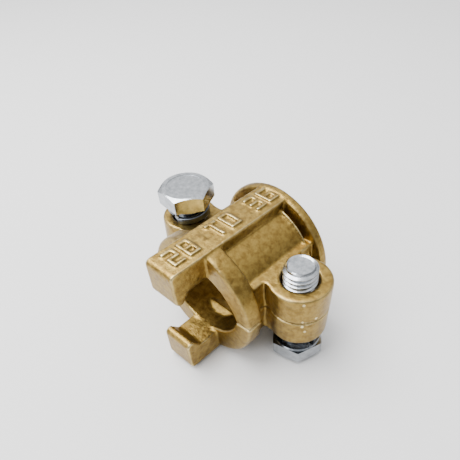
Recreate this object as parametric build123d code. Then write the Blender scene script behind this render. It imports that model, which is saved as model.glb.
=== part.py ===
from build123d import *
import math
import os

# Two-bolt cast hose clamp. X runs along the hose, Y from bolt to bolt, Z along the bolts.
# The origin is on the hose axis, in the parting plane, midway between the bolts.

# bolts, M12 coarse
bolt_nominal_d = 12.0
bolt_length = 34.2
tip_chamfer = 1.3
head_flats = 18.0
head_height = 6.5
washer_face_inset = 0.4
washer_face_h = 0.6
head_chamfer_ratio = 0.95
head_turn_left = 25.0
head_turn_right = -19.0

# named clearances
parting_gap = 0.3
thread_undersize = 0.07
thread_clearance = 0.06
hole_clearance = 0.75
washer_bore_clearance = 0.15
washer_seat_clearance = 0.02
washer_side_clearance = 0.3

# spring lock washers, free height as for a bolt that is not yet torqued
lock_washer_free_h = 5.5
lock_washer_section_h = 2.5
lock_washer_section_w = 1.7
lock_washer_trim = 0.15
lock_washer_turn = 350.0
lock_washer_left_angle = 195.0
lock_washer_right_angle = 100.0

# half shell, along the hose
front_x = -21.5
front_ring_w = 6.9
back_x = 20.2
back_ring_w = 3.8
groove_w = 1.3
ridge_w = 1.0

# half shell, across the hose
bore_r = 18.0
bore_drop = 4.0
barrel_wall = 2.0
front_ring_rise = 3.6
back_ring_rise = 4.4
groove_depth = 1.1
ridge_rise = 1.3
ring_edge_round = 1.2
ridge_edge_round = 0.35

# bolt lugs and the ledges beside the barrel
bolt_wall = 2.9
lug_wall = 4.8
lug_height = 11.4
lug_threaded_draft = -0.4
lug_clear_draft = 0.5
lug_edge_round = 0.8
lug_web_half_w = 9.4
ledge_inset = 0.5
ledge_edge_round = 0.6
counterbore_gap = 0.7
counterbore_depth = 4.0

# top band and claw
band_half_w = 6.3
band_inset = 0.2
claw_reach = 13.7
claw_edge_round = 1.7
lip_depth = 3.7
lip_flat = 1.5
lip_slope = 3.1
lip_nose = 1.2

# grip ridges inside the bore: how far each crest is from the middle bolt plane
grip_x = (-12.0, 0.5, 12.0)
grip_front = 4.0
grip_back = 4.8
grip_height = 1.5
grip_root = 0.5
grip_half_y = 10.0

# raised size marking on the band, the hose diameters it takes: block characters
mark_height = 0.8
mark_root = 0.5
mark_stroke = 1.1
mark_cell_x = 4.6
mark_cell_y = 7.4
mark_pitch = 6.1
mark_start = 6.6
mark_text = "28 TO 36"

# worked out from the sizes above
arm_under_z = bore_r - bore_drop
bore_half_w = math.sqrt(bore_r**2 - bore_drop**2)
barrel_r = bore_r + barrel_wall
front_ring_r = barrel_r + front_ring_rise
back_ring_r = barrel_r + back_ring_rise
groove_r = barrel_r - groove_depth
ridge_r = barrel_r + ridge_rise
ledge_y = barrel_r - ledge_inset
front_ring_back_x = front_x + front_ring_w
back_ring_front_x = back_x - back_ring_w
band_top_z = front_ring_r - band_inset
claw_tip_x = front_x - claw_reach
lip_z = arm_under_z - lip_depth
lip_back_x = claw_tip_x + lip_nose + lip_flat
lip_root_x = lip_back_x + lip_slope
shank_r = bolt_nominal_d / 2 - thread_undersize
thread_hole_r = shank_r + thread_clearance
clear_hole_r = bolt_nominal_d / 2 + hole_clearance
counterbore_r = bolt_nominal_d / 2 + counterbore_gap
bolt_y = bore_half_w + bolt_wall + clear_hole_r
washer_in_r = bolt_nominal_d / 2 + washer_bore_clearance
spot_face_r = washer_in_r + lock_washer_section_w + washer_side_clearance
lug_r = bolt_nominal_d / 2 + lug_wall
seat_z = lug_height + lock_washer_free_h
washer_face_r = head_flats / 2 - washer_face_inset
reach_all = bolt_y + lug_r + back_x - claw_tip_x + bolt_length


def x_disc(x0, x1, r, edge=0.0):
    disc = Pos((x0 + x1) / 2, 0, 0) * Rot(0, 90, 0) * Cylinder(r, x1 - x0)
    if edge > 0:
        rims = disc.edges().filter_by(GeomType.CIRCLE)
        disc = fillet(rims, edge)
    return disc


def block(x0, x1, y0, y1, z0, z1):
    return Pos((x0 + x1) / 2, (y0 + y1) / 2, (z0 + z1) / 2) * Box(x1 - x0, y1 - y0, z1 - z0)


def xz_prism(points, half_y):
    face = make_face(Polyline(*[(x, 0, z) for x, z in points], close=True))
    return extrude(face, amount=half_y, dir=(0, 1, 0), both=True)


def segment_boxes(char, cx):
    # a top, b and c later side, d bottom, e and f earlier side, g middle, v upright
    table = {
        "O": "abcdef",
        "T": "av",
        "2": "abged",
        "8": "abcdefg",
        "3": "abgcd",
        "6": "afgedc",
        " ": "",
    }
    w = mark_cell_x / 2
    h = mark_cell_y / 2
    s = mark_stroke / 2
    top = band_top_z + mark_height
    low = band_top_z - mark_root
    out = []
    for seg in table[char]:
        if seg == "a":
            out.append(block(cx - w, cx + w, h - 2 * s, h, low, top))
        if seg == "d":
            out.append(block(cx - w, cx + w, -h, -h + 2 * s, low, top))
        if seg == "g":
            out.append(block(cx - w, cx + w, -s, s, low, top))
        if seg == "f":
            out.append(block(cx - w, cx - w + 2 * s, 0, h, low, top))
        if seg == "e":
            out.append(block(cx - w, cx - w + 2 * s, -h, 0, low, top))
        if seg == "b":
            out.append(block(cx + w - 2 * s, cx + w, 0, h, low, top))
        if seg == "c":
            out.append(block(cx + w - 2 * s, cx + w, -h, 0, low, top))
        if seg == "v":
            out.append(block(cx - s, cx + s, -h, h, low, top))
    return out


def lug(side, draft):
    # a lug boss, wider at the parting plane, joined to the barrel by a web
    boss = Pos(0, side * bolt_y, lug_height / 2) * Cone(lug_r, lug_r - draft, lug_height)
    rim = boss.edges().filter_by(GeomType.CIRCLE).sort_by(Axis.Z)[-1]
    boss = fillet(rim, lug_edge_round)
    y0, y1 = sorted((side * bore_half_w, side * bolt_y))
    web = block(-lug_web_half_w, lug_web_half_w, y0, y1, 0, lug_height)
    return boss + web


def half_shell():
    # barrel with a ring at each end
    body = x_disc(front_x, front_ring_back_x, front_ring_r, ring_edge_round)
    body = body + x_disc(back_ring_front_x, back_x, back_ring_r, ring_edge_round)
    inset = ring_edge_round
    body = body + x_disc(front_x + inset, back_x - inset, barrel_r)
    ridge_x1 = back_ring_front_x - groove_w
    body = body + x_disc(ridge_x1 - ridge_w, ridge_x1, ridge_r, ridge_edge_round)
    groove = x_disc(ridge_x1, back_ring_front_x, reach_all)
    groove = groove - x_disc(ridge_x1, back_ring_front_x, groove_r)
    body = body - groove

    # flat ledges beside the barrel, and the two bolt lugs
    x0 = front_ring_back_x - inset
    x1 = back_ring_front_x + inset
    ledge = block(x0, x1, -ledge_y, ledge_y, 0, lug_height)
    ledge = fillet(ledge.edges().filter_by(Axis.X).group_by(Axis.Z)[-1], ledge_edge_round)
    body = body + ledge
    body = body + lug(-1, lug_threaded_draft)
    body = body + lug(1, lug_clear_draft)

    # band over the top, running out as the claw arm
    w = band_half_w
    root_z = (arm_under_z + band_top_z) / 2
    band = block(claw_tip_x, x1, -w, w, arm_under_z, band_top_z)
    lip = xz_prism(
        [
            (claw_tip_x, root_z),
            (claw_tip_x, lip_z + lip_nose),
            (claw_tip_x + lip_nose, lip_z),
            (lip_back_x, lip_z),
            (lip_root_x, arm_under_z),
            (lip_root_x, root_z),
        ],
        band_half_w,
    )
    band = band + lip
    tip_edge = band.edges().filter_by(Axis.Y).group_by(Axis.Z)[-1].sort_by(Axis.X)[0]
    band = fillet(tip_edge, claw_edge_round)
    body = body + band

    # raised size marking
    marks = []
    for i, char in enumerate(mark_text):
        marks += segment_boxes(char, claw_tip_x + mark_start + i * mark_pitch)
    body = body.fuse(*marks)

    # hose bore: the arc of a full circle whose centre lies beyond the parting plane
    bore = Pos(0, 0, -bore_drop) * x_disc(front_x, back_x, bore_r)
    body = body - bore

    # bolt holes: threaded with a counterbore on one lug, clearance on the other
    thread_hole = Pos(0, -bolt_y, lug_height / 2) * Cylinder(thread_hole_r, 2 * lug_height)
    mouth = Pos(0, -bolt_y, lug_height) * Cylinder(counterbore_r, 2 * counterbore_depth)
    clear_hole = Pos(0, bolt_y, lug_height / 2) * Cylinder(clear_hole_r, 2 * lug_height)
    spot_face = Pos(0, bolt_y, lug_height + back_ring_r / 2) * Cylinder(spot_face_r, back_ring_r)
    body = body - thread_hole - mouth - clear_hole - spot_face

    # grip ridges: straight crests across the floor of the bore
    crest = arm_under_z - grip_height
    root = arm_under_z + grip_root
    for gx in grip_x:
        ridge = xz_prism([(gx - grip_front, root), (gx, crest), (gx + grip_back, root)], grip_half_y)
        body = body + (ridge & x_disc(front_x, back_x, barrel_r))

    # cut at the parting plane
    keep = block(-reach_all, reach_all, -reach_all, reach_all, parting_gap / 2, reach_all)
    return body & keep


def hex_bolt(turn):
    # head above the seat, shank below it, axis on Z, seat at z = 0
    corner_r = head_flats / 2 / math.cos(math.radians(30))
    points = []
    for i in range(6):
        a = math.radians(turn + 60 * i)
        points.append((corner_r * math.cos(a), corner_r * math.sin(a)))
    prism = Pos(0, 0, washer_face_h) * extrude(
        make_face(Polyline(*points, close=True)), amount=head_height - washer_face_h
    )
    rc = head_chamfer_ratio * head_flats / 2
    reach = 2 * corner_r
    drop = (reach - rc) * math.tan(math.radians(30))
    outline = Polyline(
        (0, 0, 0),
        (reach, 0, 0),
        (reach, 0, head_height - drop),
        (rc, 0, head_height),
        (0, 0, head_height),
        close=True,
    )
    head = prism & revolve(make_face(outline), Axis.Z)
    head = head + Pos(0, 0, washer_face_h / 2) * Cylinder(washer_face_r, washer_face_h)
    shank = Pos(0, 0, -bolt_length / 2) * Cylinder(shank_r, bolt_length)
    end = shank.edges().filter_by(GeomType.CIRCLE).sort_by(Axis.Z)[0]
    shank = chamfer(end, tip_chamfer)
    return head + shank


def lock_washer():
    # split ring, one turn of a rectangular section, ends ground flat to the free height
    r_mid = washer_in_r + lock_washer_section_w / 2
    rise = lock_washer_free_h - lock_washer_section_h + 2 * lock_washer_trim
    pitch = rise * 360.0 / lock_washer_turn
    path = Helix(pitch=pitch, height=rise, radius=r_mid)
    start = Plane(origin=path @ 0, x_dir=(1, 0, 0), z_dir=path % 0)
    section = start * Rectangle(lock_washer_section_w, lock_washer_section_h)
    ring = sweep(section, path=path, is_frenet=True)
    ring = Pos(0, 0, lock_washer_section_h / 2 - lock_washer_trim) * ring
    out = 2 * r_mid
    slab = block(-out, out, -out, out, washer_seat_clearance, lock_washer_free_h)
    return ring & slab


upper = half_shell()
lower = Rot(180, 0, 0) * half_shell()

left_bolt = Pos(0, bolt_y, seat_z) * hex_bolt(head_turn_left)
right_bolt = Pos(0, -bolt_y, -seat_z) * Rot(180, 0, 0) * hex_bolt(-head_turn_right)
left_washer = Pos(0, bolt_y, lug_height) * Rot(0, 0, lock_washer_left_angle) * lock_washer()
right_washer = Pos(0, -bolt_y, -lug_height) * Rot(180, 0, lock_washer_right_angle) * lock_washer()

os.makedirs("parts", exist_ok=True)
export_step(upper, "parts/upper_half_shell.step")
export_step(lower, "parts/lower_half_shell.step")
export_step(left_bolt, "parts/left_hex_bolt.step")
export_step(right_bolt, "parts/right_hex_bolt.step")
export_step(left_washer, "parts/left_lock_washer.step")
export_step(right_washer, "parts/right_lock_washer.step")
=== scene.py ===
import bmesh
import bpy
import math
from mathutils import Matrix, Vector


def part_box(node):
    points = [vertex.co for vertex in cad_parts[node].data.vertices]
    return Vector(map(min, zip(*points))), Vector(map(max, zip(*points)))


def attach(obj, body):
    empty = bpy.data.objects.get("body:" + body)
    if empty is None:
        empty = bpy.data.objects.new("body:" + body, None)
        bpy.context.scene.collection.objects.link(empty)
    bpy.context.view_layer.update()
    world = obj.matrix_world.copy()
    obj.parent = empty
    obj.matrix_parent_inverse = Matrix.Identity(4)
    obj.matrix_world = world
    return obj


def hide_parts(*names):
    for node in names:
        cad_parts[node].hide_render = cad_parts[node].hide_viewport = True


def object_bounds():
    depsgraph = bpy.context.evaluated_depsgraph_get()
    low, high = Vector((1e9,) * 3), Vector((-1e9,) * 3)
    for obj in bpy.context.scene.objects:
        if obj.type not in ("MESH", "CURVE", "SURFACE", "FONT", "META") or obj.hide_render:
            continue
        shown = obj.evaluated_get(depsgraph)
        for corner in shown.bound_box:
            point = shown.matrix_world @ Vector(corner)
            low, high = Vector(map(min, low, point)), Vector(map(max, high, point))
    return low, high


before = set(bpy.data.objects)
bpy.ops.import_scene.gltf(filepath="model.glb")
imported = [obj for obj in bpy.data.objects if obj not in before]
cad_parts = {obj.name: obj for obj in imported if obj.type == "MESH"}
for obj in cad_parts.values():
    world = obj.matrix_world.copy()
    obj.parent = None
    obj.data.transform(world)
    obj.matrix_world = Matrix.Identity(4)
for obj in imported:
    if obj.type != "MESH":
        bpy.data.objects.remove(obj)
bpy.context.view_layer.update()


# ---------------------------------------------------------------- half shells
# Two identical brass castings that close round the hose, each with a claw, a
# raised band, a ring at both ends and two bolt lugs. Cast in sand, fettled
# and tumbled, so every edge that was not drilled is soft.

MM = 0.001
MERGE_GAP = 0.005 * MM
SHELL_VOXEL = 0.36 * MM
SHELL_SOFT_PASSES = 6
MARK_SOFT_PASSES = 1
SOFT_STEP = 0.5
MARK_BAND_HALF_Y = 4.4 * MM
MARK_DEPTH = 0.30 * MM
MARK_PROUD = 1.0 * MM
BRASS_DULL = (0.21, 0.130, 0.032, 1)
BRASS_FRESH = (0.33, 0.222, 0.058, 1)
# Worn brass on proud edges, brightened further as a painted highlight.
BRASS_WORN_HIGHLIGHT = (0.88, 0.76, 0.42, 1)
# Tarnish for pits, also used as painted shade in hollows over their dirt.
BRASS_TARNISH_AND_SHADE = (0.085, 0.05, 0.015, 1)
BRASS_TONE_BAND = (0.38, 0.60)
BRASS_ROUGHNESS = (0.24, 0.46)
BRASS_POLISH = -0.16
BRASS_BUMP = 0.9
BRASS_BUMP_DEPTH = 0.20 * MM
BRASS_GRAIN_SCALE = 750.0
BRASS_PIT_SCALE = 420.0
PIT_SHARE = 0.5
# How far hollows darken: dirt plus painted shade.
GRIME_AND_SHADE_SHARE = 0.9
# How far proud edges brighten: wear plus a painted highlight.
RUBBED_HIGHLIGHT_SHARE = 0.8


def remeshed_copy(node, name, voxel):
    # a closed even mesh over the solid, which can then be softened like a casting
    source = bpy.data.objects[node]
    mesh = source.data.copy()
    mesh.name = name
    bm = bmesh.new()
    bm.from_mesh(mesh)
    bmesh.ops.remove_doubles(bm, verts=bm.verts[:], dist=MERGE_GAP)
    bm.to_mesh(mesh)
    bm.free()
    piece = bpy.data.objects.new(name, mesh)
    bpy.context.scene.collection.objects.link(piece)
    remesh = piece.modifiers.new("even", "REMESH")
    remesh.mode = "VOXEL"
    remesh.voxel_size = voxel
    remesh.adaptivity = 0.0
    graph = bpy.context.evaluated_depsgraph_get()
    even = bpy.data.meshes.new_from_object(piece.evaluated_get(graph))
    piece.modifiers.clear()
    piece.data = even
    even.name = name
    even.materials.clear()
    return piece


def soften_casting(piece, band_top):
    bm = bmesh.new()
    bm.from_mesh(piece.data)
    verts = bm.verts[:]
    plain = []
    for v in verts:
        on_band = abs(v.co.z) > band_top - MARK_DEPTH and abs(v.co.y) < MARK_BAND_HALF_Y
        if not on_band:
            plain.append(v)
    for i in range(SHELL_SOFT_PASSES):
        soft = verts if i < MARK_SOFT_PASSES else plain
        bmesh.ops.smooth_vert(
            bm, verts=soft, factor=SOFT_STEP, use_axis_x=True, use_axis_y=True, use_axis_z=True
        )
    for face in bm.faces:
        face.smooth = True
    bm.to_mesh(piece.data)
    bm.free()


# Fine grain left by the sand, as height, as a tone and as pits.
GRAIN_DETAIL = 6.0
FINE_ROUGHNESS = 0.62
BROAD_SCALE = 520.0
BROAD_ROUGHNESS = 0.65
PIT_DETAIL = 2.0
PIT_BAND = (0.60, 0.76)
PIT_DEPTH = -0.3

sand_grain = bpy.data.node_groups.new("sand_grain", "ShaderNodeTree")
for socket, kind in (
    ("Place", "NodeSocketVector"),
    ("Grain Scale", "NodeSocketFloat"),
    ("Pit Scale", "NodeSocketFloat"),
):
    sand_grain.interface.new_socket(name=socket, in_out="INPUT", socket_type=kind)
for socket in ("Height", "Tone", "Pits"):
    sand_grain.interface.new_socket(name=socket, in_out="OUTPUT", socket_type="NodeSocketFloat")
nodes, links = sand_grain.nodes, sand_grain.links
g_in = nodes.new("NodeGroupInput")
g_out = nodes.new("NodeGroupOutput")
fine = nodes.new("ShaderNodeTexNoise")
fine.inputs["Detail"].default_value = GRAIN_DETAIL
fine.inputs["Roughness"].default_value = FINE_ROUGHNESS
links.new(g_in.outputs["Place"], fine.inputs["Vector"])
links.new(g_in.outputs["Grain Scale"], fine.inputs["Scale"])
broad = nodes.new("ShaderNodeTexNoise")
broad.inputs["Scale"].default_value = BROAD_SCALE
broad.inputs["Detail"].default_value = GRAIN_DETAIL
broad.inputs["Roughness"].default_value = BROAD_ROUGHNESS
links.new(g_in.outputs["Place"], broad.inputs["Vector"])
pit_cells = nodes.new("ShaderNodeTexNoise")
pit_cells.inputs["Detail"].default_value = PIT_DETAIL
links.new(g_in.outputs["Place"], pit_cells.inputs["Vector"])
links.new(g_in.outputs["Pit Scale"], pit_cells.inputs["Scale"])
pit_mask = nodes.new("ShaderNodeMapRange")
pit_mask.inputs["From Min"].default_value = PIT_BAND[0]
pit_mask.inputs["From Max"].default_value = PIT_BAND[1]
links.new(pit_cells.outputs["Fac"], pit_mask.inputs["Value"])
pit_low = nodes.new("ShaderNodeMath")
pit_low.operation = "MULTIPLY"
pit_low.inputs[1].default_value = PIT_DEPTH
links.new(pit_mask.outputs["Result"], pit_low.inputs[0])
height = nodes.new("ShaderNodeMath")
height.operation = "ADD"
links.new(fine.outputs["Fac"], height.inputs[0])
links.new(pit_low.outputs["Value"], height.inputs[1])
links.new(height.outputs["Value"], g_out.inputs["Height"])
links.new(broad.outputs["Fac"], g_out.inputs["Tone"])
links.new(pit_mask.outputs["Result"], g_out.inputs["Pits"])

# What handling does to an edge, with painted light on top: proud corners rub bright and get a
# painted highlight, hollows keep their dirt and get painted shade.
# A band is where the effect starts and where it is full, in pointiness.
RUBBED_HIGHLIGHT_BAND = (0.515, 0.560)
GRIME_AND_SHADE_BAND = (0.488, 0.445)
PATCH_DETAIL = 5.0
PATCH_BAND = (0.30, 0.60)
PATCH_LEAST = 0.35
PATCH_SCALE = 260.0

edge_wear_and_light = bpy.data.node_groups.new("edge_wear_and_light", "ShaderNodeTree")
for socket, kind in (
    ("Place", "NodeSocketVector"),
    ("Pointiness", "NodeSocketFloat"),
    ("Break Up Scale", "NodeSocketFloat"),
):
    edge_wear_and_light.interface.new_socket(name=socket, in_out="INPUT", socket_type=kind)
for socket in ("Rubbed Highlight", "Grime And Shade"):
    edge_wear_and_light.interface.new_socket(name=socket, in_out="OUTPUT", socket_type="NodeSocketFloat")
nodes, links = edge_wear_and_light.nodes, edge_wear_and_light.links
w_in = nodes.new("NodeGroupInput")
w_out = nodes.new("NodeGroupOutput")
patches = nodes.new("ShaderNodeTexNoise")
patches.inputs["Detail"].default_value = PATCH_DETAIL
links.new(w_in.outputs["Place"], patches.inputs["Vector"])
links.new(w_in.outputs["Break Up Scale"], patches.inputs["Scale"])
for name, (start, full) in (("Rubbed Highlight", RUBBED_HIGHLIGHT_BAND), ("Grime And Shade", GRIME_AND_SHADE_BAND)):
    band = nodes.new("ShaderNodeMapRange")
    band.inputs["From Min"].default_value = start
    band.inputs["From Max"].default_value = full
    links.new(w_in.outputs["Pointiness"], band.inputs["Value"])
    uneven = nodes.new("ShaderNodeMapRange")
    uneven.inputs["From Min"].default_value = PATCH_BAND[0]
    uneven.inputs["From Max"].default_value = PATCH_BAND[1]
    uneven.inputs["To Min"].default_value = PATCH_LEAST
    links.new(patches.outputs["Fac"], uneven.inputs["Value"])
    both = nodes.new("ShaderNodeMath")
    both.operation = "MULTIPLY"
    links.new(band.outputs["Result"], both.inputs[0])
    links.new(uneven.outputs["Result"], both.inputs[1])
    links.new(both.outputs["Value"], w_out.inputs[name])


def cast_brass():
    mat = bpy.data.materials.new("cast_brass")
    mat.use_nodes = True
    nt = mat.node_tree
    shader = nt.nodes["Principled BSDF"]
    shader.inputs["Metallic"].default_value = 1.0
    place = nt.nodes.new("ShaderNodeTexCoord")
    shape = nt.nodes.new("ShaderNodeNewGeometry")
    grain = nt.nodes.new("ShaderNodeGroup")
    grain.node_tree = sand_grain
    grain.inputs["Grain Scale"].default_value = BRASS_GRAIN_SCALE
    grain.inputs["Pit Scale"].default_value = BRASS_PIT_SCALE
    nt.links.new(place.outputs["Object"], grain.inputs["Place"])
    wear_and_light = nt.nodes.new("ShaderNodeGroup")
    wear_and_light.node_tree = edge_wear_and_light
    wear_and_light.inputs["Break Up Scale"].default_value = PATCH_SCALE
    nt.links.new(place.outputs["Object"], wear_and_light.inputs["Place"])
    nt.links.new(shape.outputs["Pointiness"], wear_and_light.inputs["Pointiness"])
    tone = nt.nodes.new("ShaderNodeValToRGB")
    tone.color_ramp.elements[0].position = BRASS_TONE_BAND[0]
    tone.color_ramp.elements[0].color = BRASS_DULL
    tone.color_ramp.elements[1].position = BRASS_TONE_BAND[1]
    tone.color_ramp.elements[1].color = BRASS_FRESH
    nt.links.new(grain.outputs["Tone"], tone.inputs["Fac"])
    colour = tone.outputs["Color"]
    # Pits take tarnish; hollows take dirt plus painted shade; proud edges take wear plus a painted
    # highlight.
    for amount, share, shade in (
        (grain.outputs["Pits"], PIT_SHARE, BRASS_TARNISH_AND_SHADE),
        (wear_and_light.outputs["Grime And Shade"], GRIME_AND_SHADE_SHARE, BRASS_TARNISH_AND_SHADE),
        (wear_and_light.outputs["Rubbed Highlight"], RUBBED_HIGHLIGHT_SHARE, BRASS_WORN_HIGHLIGHT),
    ):
        part = nt.nodes.new("ShaderNodeMath")
        part.operation = "MULTIPLY"
        part.inputs[1].default_value = share
        nt.links.new(amount, part.inputs[0])
        mix = nt.nodes.new("ShaderNodeMix")
        mix.data_type = "RGBA"
        mix.inputs["B"].default_value = shade
        nt.links.new(part.outputs["Value"], mix.inputs["Factor"])
        nt.links.new(colour, mix.inputs["A"])
        colour = mix.outputs["Result"]
    nt.links.new(colour, shader.inputs["Base Color"])
    rough = nt.nodes.new("ShaderNodeMapRange")
    rough.inputs["To Min"].default_value = BRASS_ROUGHNESS[0]
    rough.inputs["To Max"].default_value = BRASS_ROUGHNESS[1]
    nt.links.new(grain.outputs["Tone"], rough.inputs["Value"])
    polish = nt.nodes.new("ShaderNodeMath")
    polish.operation = "MULTIPLY"
    polish.inputs[1].default_value = BRASS_POLISH
    nt.links.new(wear_and_light.outputs["Rubbed Highlight"], polish.inputs[0])
    gloss = nt.nodes.new("ShaderNodeMath")
    gloss.operation = "ADD"
    nt.links.new(rough.outputs["Result"], gloss.inputs[0])
    nt.links.new(polish.outputs["Value"], gloss.inputs[1])
    nt.links.new(gloss.outputs["Value"], shader.inputs["Roughness"])
    bump = nt.nodes.new("ShaderNodeBump")
    bump.inputs["Strength"].default_value = BRASS_BUMP
    bump.inputs["Distance"].default_value = BRASS_BUMP_DEPTH
    nt.links.new(grain.outputs["Height"], bump.inputs["Height"])
    nt.links.new(bump.outputs["Normal"], shader.inputs["Normal"])
    return mat


brass = cast_brass()
for side in ("upper", "lower"):
    node = side + "_half_shell"
    low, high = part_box(node)
    shell = remeshed_copy(node, side + "_half_casting", SHELL_VOXEL)
    reach = max(abs(low[2]), abs(high[2]))
    soften_casting(shell, reach - MARK_PROUD)
    shell.data.materials.append(brass)
    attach(shell, side + "_shell")
    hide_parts(node)


# ---------------------------------------------------------------- hex bolts
# M12 x 35 hex bolts, cold headed with a chamfered top and a washer face, the
# thread rolled up to the head, then bright zinc plated. One from each side.

THREAD_MAJOR_R = 5.92 * MM
THREAD_MINOR_R = 4.95 * MM
THREAD_PITCH = 1.75 * MM
THREAD_STEPS = 40
ROOT_END = 0.25 * THREAD_PITCH
CREST_START = 0.5625 * THREAD_PITCH
CREST_END = 0.6875 * THREAD_PITCH
HEAD_FLATS = 18.0 * MM
HEAD_TOP_R = 0.95 * HEAD_FLATS / 2
HEAD_CORNER_R = HEAD_FLATS / 2 / math.cos(math.pi / 6)
HEAD_CORNER_ROUND = 0.25 * MM
HEAD_TURNED_STEPS = 72
WASHER_FACE_STEPS = 72
HEAD_RIM_W = 1.5 * MM
HEAD_DISH = 0.14 * MM
WASHER_FACE_R = 8.6 * MM
WASHER_FACE_H = 0.6 * MM
TIP_R = 4.6 * MM
TIP_DISH_W = 1.1 * MM
TIP_DISH = 0.35 * MM
CUT_GAP = 0.0001 * MM
HEAD_CONE = math.radians(30)
BOLT_TURNS = (("left", 1, math.radians(25)), ("right", -1, math.radians(19)))
PLATE_TONE_BAND = (0.30, 0.70)
PLATE_BUMP_DEPTH = 0.05 * MM
ZINC_DARK = (0.30, 0.32, 0.34, 1)
ZINC_LIGHT = (0.54, 0.56, 0.59, 1)
ZINC_GRAIN_SCALE = 1400.0
ZINC_PIT_SCALE = 700.0
ZINC_ROUGHNESS = (0.14, 0.28)
ZINC_BUMP = 0.12


def hex_head(bm, height, turn):
    # a hexagon on its washer face; the top corners are turned off by a cone
    bmesh.ops.create_cone(
        bm,
        cap_ends=True,
        segments=6,
        radius1=HEAD_CORNER_R,
        radius2=HEAD_CORNER_R,
        depth=height - WASHER_FACE_H,
        matrix=Matrix.Translation((0, 0, (height + WASHER_FACE_H) / 2))
        @ Matrix.Rotation(turn - math.pi / 2, 4, "Z"),
    )
    corners = [e for e in bm.edges if abs(e.verts[0].co.z - e.verts[1].co.z) > WASHER_FACE_H]
    bmesh.ops.bevel(
        bm,
        geom=corners,
        offset=HEAD_CORNER_ROUND,
        offset_type="OFFSET",
        segments=3,
        profile=0.5,
        affect="EDGES",
        material=-1,
    )
    for i in range(HEAD_TURNED_STEPS):
        a = 2 * math.pi * i / HEAD_TURNED_STEPS
        away = Vector((math.cos(a), math.sin(a), 0))
        cut = bmesh.ops.bisect_plane(
            bm,
            geom=bm.verts[:] + bm.edges[:] + bm.faces[:],
            dist=CUT_GAP,
            plane_co=away * HEAD_TOP_R + Vector((0, 0, height)),
            plane_no=away * math.tan(HEAD_CONE) + Vector((0, 0, 1)),
            clear_outer=True,
        )
        rim = [e for e in cut["geom_cut"] if isinstance(e, bmesh.types.BMEdge)]
        bmesh.ops.contextual_create(bm, geom=rim)
    top = max(bm.faces, key=lambda face: face.calc_center_median().z)
    bmesh.ops.inset_individual(
        bm, faces=[top], thickness=HEAD_RIM_W, depth=0.0, use_even_offset=True
    )
    bmesh.ops.inset_individual(
        bm, faces=[top], thickness=HEAD_DISH / 2, depth=-HEAD_DISH, use_even_offset=True
    )
    bmesh.ops.create_cone(
        bm,
        cap_ends=True,
        segments=WASHER_FACE_STEPS,
        radius1=WASHER_FACE_R,
        radius2=WASHER_FACE_R,
        depth=WASHER_FACE_H,
        matrix=Matrix.Translation((0, 0, WASHER_FACE_H / 2)),
    )


def rolled_thread(bm, length):
    # one tooth spun into a helix, trimmed flat at both ends, with a chamfered tip
    start = -length - 2 * THREAD_PITCH
    tooth = [
        (THREAD_MINOR_R, 0.0),
        (THREAD_MINOR_R, ROOT_END),
        (THREAD_MAJOR_R, CREST_START),
        (THREAD_MAJOR_R, CREST_END),
        (THREAD_MINOR_R, THREAD_PITCH),
    ]
    verts = [bm.verts.new((r, 0, start + z)) for r, z in tooth]
    edges = [bm.edges.new(pair) for pair in zip(verts, verts[1:])]
    turns = math.ceil(length / THREAD_PITCH) + 2
    bmesh.ops.spin(
        bm,
        geom=verts + edges,
        cent=(0, 0, 0),
        axis=(0, 0, 1),
        dvec=(0, 0, THREAD_PITCH / THREAD_STEPS),
        angle=2 * math.pi * turns,
        steps=THREAD_STEPS * turns,
        use_merge=False,
    )
    bmesh.ops.remove_doubles(bm, verts=bm.verts[:], dist=MERGE_GAP)
    for z, up in ((-length, -1), (0.0, 1)):
        cut = bmesh.ops.bisect_plane(
            bm,
            geom=bm.verts[:] + bm.edges[:] + bm.faces[:],
            dist=CUT_GAP,
            plane_co=(0, 0, z),
            plane_no=(0, 0, up),
            clear_outer=True,
        )
        rim = [e for e in cut["geom_cut"] if isinstance(e, bmesh.types.BMEdge)]
        bmesh.ops.contextual_create(bm, geom=rim)
    end = min(bm.faces, key=lambda face: (face.calc_center_median().z, -face.calc_area()))
    bmesh.ops.inset_individual(
        bm, faces=[end], thickness=TIP_DISH_W, depth=0.0, use_even_offset=False
    )
    bmesh.ops.translate(bm, verts=end.verts[:], vec=(0, 0, TIP_DISH))
    for v in bm.verts:
        r = math.hypot(v.co.x, v.co.y)
        allowed = TIP_R + (v.co.z + length)
        if r > allowed:
            v.co.x *= allowed / r
            v.co.y *= allowed / r


def plated_steel(name, dark, light, grain_scale, pit_scale, roughness, bump_strength):
    mat = bpy.data.materials.new(name)
    mat.use_nodes = True
    nt = mat.node_tree
    shader = nt.nodes["Principled BSDF"]
    shader.inputs["Metallic"].default_value = 1.0
    place = nt.nodes.new("ShaderNodeTexCoord")
    grain = nt.nodes.new("ShaderNodeGroup")
    grain.node_tree = sand_grain
    grain.inputs["Grain Scale"].default_value = grain_scale
    grain.inputs["Pit Scale"].default_value = pit_scale
    nt.links.new(place.outputs["Object"], grain.inputs["Place"])
    tone = nt.nodes.new("ShaderNodeValToRGB")
    for element, where, colour in zip(tone.color_ramp.elements, PLATE_TONE_BAND, (dark, light)):
        element.position = where
        element.color = colour
    nt.links.new(grain.outputs["Tone"], tone.inputs["Fac"])
    nt.links.new(tone.outputs["Color"], shader.inputs["Base Color"])
    rough = nt.nodes.new("ShaderNodeMapRange")
    rough.inputs["To Min"].default_value = roughness[0]
    rough.inputs["To Max"].default_value = roughness[1]
    nt.links.new(grain.outputs["Tone"], rough.inputs["Value"])
    nt.links.new(rough.outputs["Result"], shader.inputs["Roughness"])
    bump = nt.nodes.new("ShaderNodeBump")
    bump.inputs["Strength"].default_value = bump_strength
    bump.inputs["Distance"].default_value = PLATE_BUMP_DEPTH
    nt.links.new(grain.outputs["Height"], bump.inputs["Height"])
    nt.links.new(bump.outputs["Normal"], shader.inputs["Normal"])
    return mat


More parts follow.
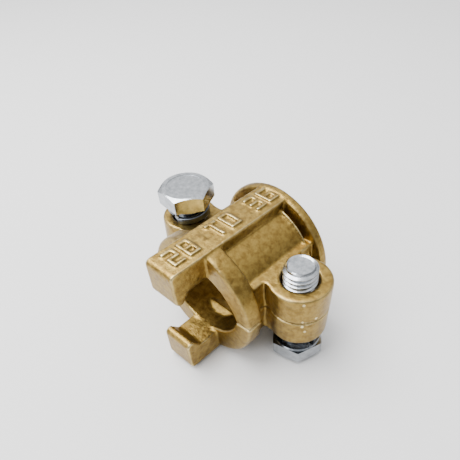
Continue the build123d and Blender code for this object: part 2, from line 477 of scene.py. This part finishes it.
zinc = plated_steel(
    "bright_zinc", ZINC_DARK, ZINC_LIGHT, ZINC_GRAIN_SCALE, ZINC_PIT_SCALE, ZINC_ROUGHNESS, ZINC_BUMP
)
for side, facing, turn in BOLT_TURNS:
    node = side + "_hex_bolt"
    washer_low, washer_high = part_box(side + "_lock_washer")
    low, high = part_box(node)
    seat = washer_high[2] if facing > 0 else washer_low[2]
    head_height = (high[2] - seat) if facing > 0 else (seat - low[2])
    length = (seat - low[2]) if facing > 0 else (high[2] - seat)
    centre_y = (washer_low[1] + washer_high[1]) / 2
    bm = bmesh.new()
    rolled_thread(bm, length)
    hex_bm = bmesh.new()
    hex_head(hex_bm, head_height, turn)
    head_mesh = bpy.data.meshes.new("head")
    hex_bm.to_mesh(head_mesh)
    hex_bm.free()
    bm.from_mesh(head_mesh)
    bpy.data.meshes.remove(head_mesh)
    flip = Matrix.Rotation(math.pi, 4, "X") if facing < 0 else Matrix.Identity(4)
    bmesh.ops.transform(
        bm, matrix=Matrix.Translation((0, centre_y, seat)) @ flip, verts=bm.verts[:]
    )
    bmesh.ops.recalc_face_normals(bm, faces=bm.faces[:])
    mesh = bpy.data.meshes.new(side + "_bolt")
    bm.to_mesh(mesh)
    bm.free()
    bolt = bpy.data.objects.new(side + "_bolt", mesh)
    bpy.context.scene.collection.objects.link(bolt)
    mesh.materials.append(zinc)
    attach(bolt, side + "_bolt")
    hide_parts(node)


# ---------------------------------------------------------------- lock washers
# Spring lock washers: flat-sided steel wire wound to one open turn and cut,
# then plated dark. Each sits loose between its bolt head and the clear lug.

RING_INNER_R = 6.15 * MM
RING_W = 1.7 * MM
RING_H = 2.5 * MM
RING_EDGE = 0.25 * MM
RING_TRIM = 0.15 * MM
RING_TURN = math.radians(350)
RING_STEPS = 120
RING_PLACES = (("left", 1, math.radians(195)), ("right", -1, math.radians(-100)))
WIRE_DARK = (0.055, 0.065, 0.080, 1)
WIRE_LIGHT = (0.16, 0.18, 0.21, 1)
WIRE_GRAIN_SCALE = 1600.0
WIRE_PIT_SCALE = 800.0
WIRE_ROUGHNESS = (0.24, 0.40)
WIRE_BUMP = 0.2


def spring_ring(bm, free_height):
    # the wire's section spun up one open turn, ends closed, faces ground flat
    x0, x1, c = RING_INNER_R, RING_INNER_R + RING_W, RING_EDGE
    z0, z1 = -RING_TRIM, RING_H - RING_TRIM
    outline = [
        (x0 + c, z0),
        (x1 - c, z0),
        (x1, z0 + c),
        (x1, z1 - c),
        (x1 - c, z1),
        (x0 + c, z1),
        (x0, z1 - c),
        (x0, z0 + c),
    ]
    verts = [bm.verts.new((x, 0, z)) for x, z in outline]
    edges = [bm.edges.new(pair) for pair in zip(verts, verts[1:] + verts[:1])]
    rise = free_height - RING_H + 2 * RING_TRIM
    swept = bmesh.ops.spin(
        bm,
        geom=verts + edges,
        cent=(0, 0, 0),
        axis=(0, 0, 1),
        dvec=(0, 0, rise / RING_STEPS),
        angle=RING_TURN,
        steps=RING_STEPS,
        use_merge=False,
    )
    last = [e for e in swept["geom_last"] if isinstance(e, bmesh.types.BMEdge)]
    for end in (edges, last):
        bmesh.ops.contextual_create(bm, geom=end)
    for z, up in ((0.0, -1), (free_height, 1)):
        cut = bmesh.ops.bisect_plane(
            bm,
            geom=bm.verts[:] + bm.edges[:] + bm.faces[:],
            dist=CUT_GAP,
            plane_co=(0, 0, z),
            plane_no=(0, 0, up),
            clear_outer=True,
        )
        rim = [e for e in cut["geom_cut"] if isinstance(e, bmesh.types.BMEdge)]
        bmesh.ops.contextual_create(bm, geom=rim)


washer_plate = plated_steel(
    "dark_plate", WIRE_DARK, WIRE_LIGHT, WIRE_GRAIN_SCALE, WIRE_PIT_SCALE, WIRE_ROUGHNESS, WIRE_BUMP
)
for side, facing, turn in RING_PLACES:
    node = side + "_lock_washer"
    low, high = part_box(node)
    centre_y = (low[1] + high[1]) / 2
    bm = bmesh.new()
    spring_ring(bm, high[2] - low[2])
    flip = Matrix.Rotation(math.pi, 4, "X") if facing < 0 else Matrix.Identity(4)
    base = low[2] if facing > 0 else high[2]
    put = Matrix.Translation((0, centre_y, base)) @ Matrix.Rotation(turn, 4, "Z") @ flip
    bmesh.ops.transform(bm, matrix=put, verts=bm.verts[:])
    bmesh.ops.recalc_face_normals(bm, faces=bm.faces[:])
    mesh = bpy.data.meshes.new(side + "_spring_ring")
    bm.to_mesh(mesh)
    bm.free()
    ring = bpy.data.objects.new(side + "_spring_ring", mesh)
    bpy.context.scene.collection.objects.link(ring)
    mesh.materials.append(washer_plate)
    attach(ring, side + "_bolt")
    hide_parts(node)


# ---------------------------------------------------------------- floor, lights, camera
# A plain pale floor under soft light that is brightest overhead, with the camera
# looking down over the claws.

FLOOR_HALF = 3.0
FLOOR_GREY = (0.70, 0.70, 0.70, 1)
FLOOR_ROUGHNESS = 0.9
SKY_BRIGHT_SIDE = Vector((0.10, 0.25, 0.95))
SKY_STRENGTH = (0.45, 1.8)

floor_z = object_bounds()[0][2]
bm = bmesh.new()
bmesh.ops.create_grid(bm, x_segments=1, y_segments=1, size=FLOOR_HALF)
bmesh.ops.translate(bm, verts=bm.verts[:], vec=(0, 0, floor_z))
floor_mesh = bpy.data.meshes.new("floor")
bm.to_mesh(floor_mesh)
bm.free()
floor = bpy.data.objects.new("floor", floor_mesh)
bpy.context.scene.collection.objects.link(floor)
floor_paint = bpy.data.materials.new("floor_paint")
floor_paint.use_nodes = True
floor_shader = floor_paint.node_tree.nodes["Principled BSDF"]
floor_shader.inputs["Base Color"].default_value = FLOOR_GREY
floor_shader.inputs["Roughness"].default_value = FLOOR_ROUGHNESS
floor_mesh.materials.append(floor_paint)

world = bpy.data.worlds.new("studio")
world.use_nodes = True
sky = world.node_tree
sky.nodes["Background"].inputs["Color"].default_value = (1, 1, 1, 1)
toward = sky.nodes.new("ShaderNodeTexCoord")
facing_key = sky.nodes.new("ShaderNodeVectorMath")
facing_key.operation = "DOT_PRODUCT"
facing_key.inputs[1].default_value = SKY_BRIGHT_SIDE.normalized()
sky.links.new(toward.outputs["Generated"], facing_key.inputs[0])
falloff = sky.nodes.new("ShaderNodeMapRange")
falloff.interpolation_type = "SMOOTHSTEP"
falloff.inputs["From Min"].default_value = 0.0
falloff.inputs["From Max"].default_value = 1.0
falloff.inputs["To Min"].default_value = SKY_STRENGTH[0]
falloff.inputs["To Max"].default_value = SKY_STRENGTH[1]
sky.links.new(facing_key.outputs["Value"], falloff.inputs["Value"])
sky.links.new(falloff.outputs["Result"], sky.nodes["Background"].inputs["Strength"])
bpy.context.scene.world = world


def soft_light(name, place, target, size, power):
    light = bpy.data.lights.new(name, "AREA")
    light.shape = "DISK"
    light.size = size
    light.energy = power
    lamp = bpy.data.objects.new(name, light)
    lamp.location = place
    aim = Vector(target) - Vector(place)
    lamp.rotation_euler = aim.to_track_quat("-Z", "Y").to_euler()
    bpy.context.scene.collection.objects.link(lamp)


soft_light("overhead", place=(-0.10, 0.25, 0.60), target=(0, 0, 0), size=0.60, power=10.0)
soft_light("front_left", place=(-0.55, 0.10, 0.45), target=(0, 0, 0), size=0.35, power=2.5)

CAMERA_AZIMUTH = math.radians(-45.87)
CAMERA_ELEVATION = math.radians(49.0)
CAMERA_ROLL = math.radians(-2.34)
CAMERA_PLACE = (-0.0819, -0.0870, 0.1118)
SENSOR_WIDTH = 36.0
LENS = 33.8
SHIFT = (-0.0624, 0.1729)
CLIP_START = 0.001
camera_data = bpy.data.cameras.new("camera")
camera_data.sensor_width = SENSOR_WIDTH
camera_data.lens = LENS
camera_data.shift_x = SHIFT[0]
camera_data.shift_y = SHIFT[1]
camera_data.clip_start = CLIP_START
camera = bpy.data.objects.new("camera", camera_data)
camera.location = CAMERA_PLACE
camera.rotation_euler = (
    Matrix.Rotation(CAMERA_AZIMUTH, 4, "Z")
    @ Matrix.Rotation(math.pi / 2 - CAMERA_ELEVATION, 4, "X")
    @ Matrix.Rotation(CAMERA_ROLL, 4, "Z")
).to_euler()
bpy.context.scene.collection.objects.link(camera)
bpy.context.scene.camera = camera
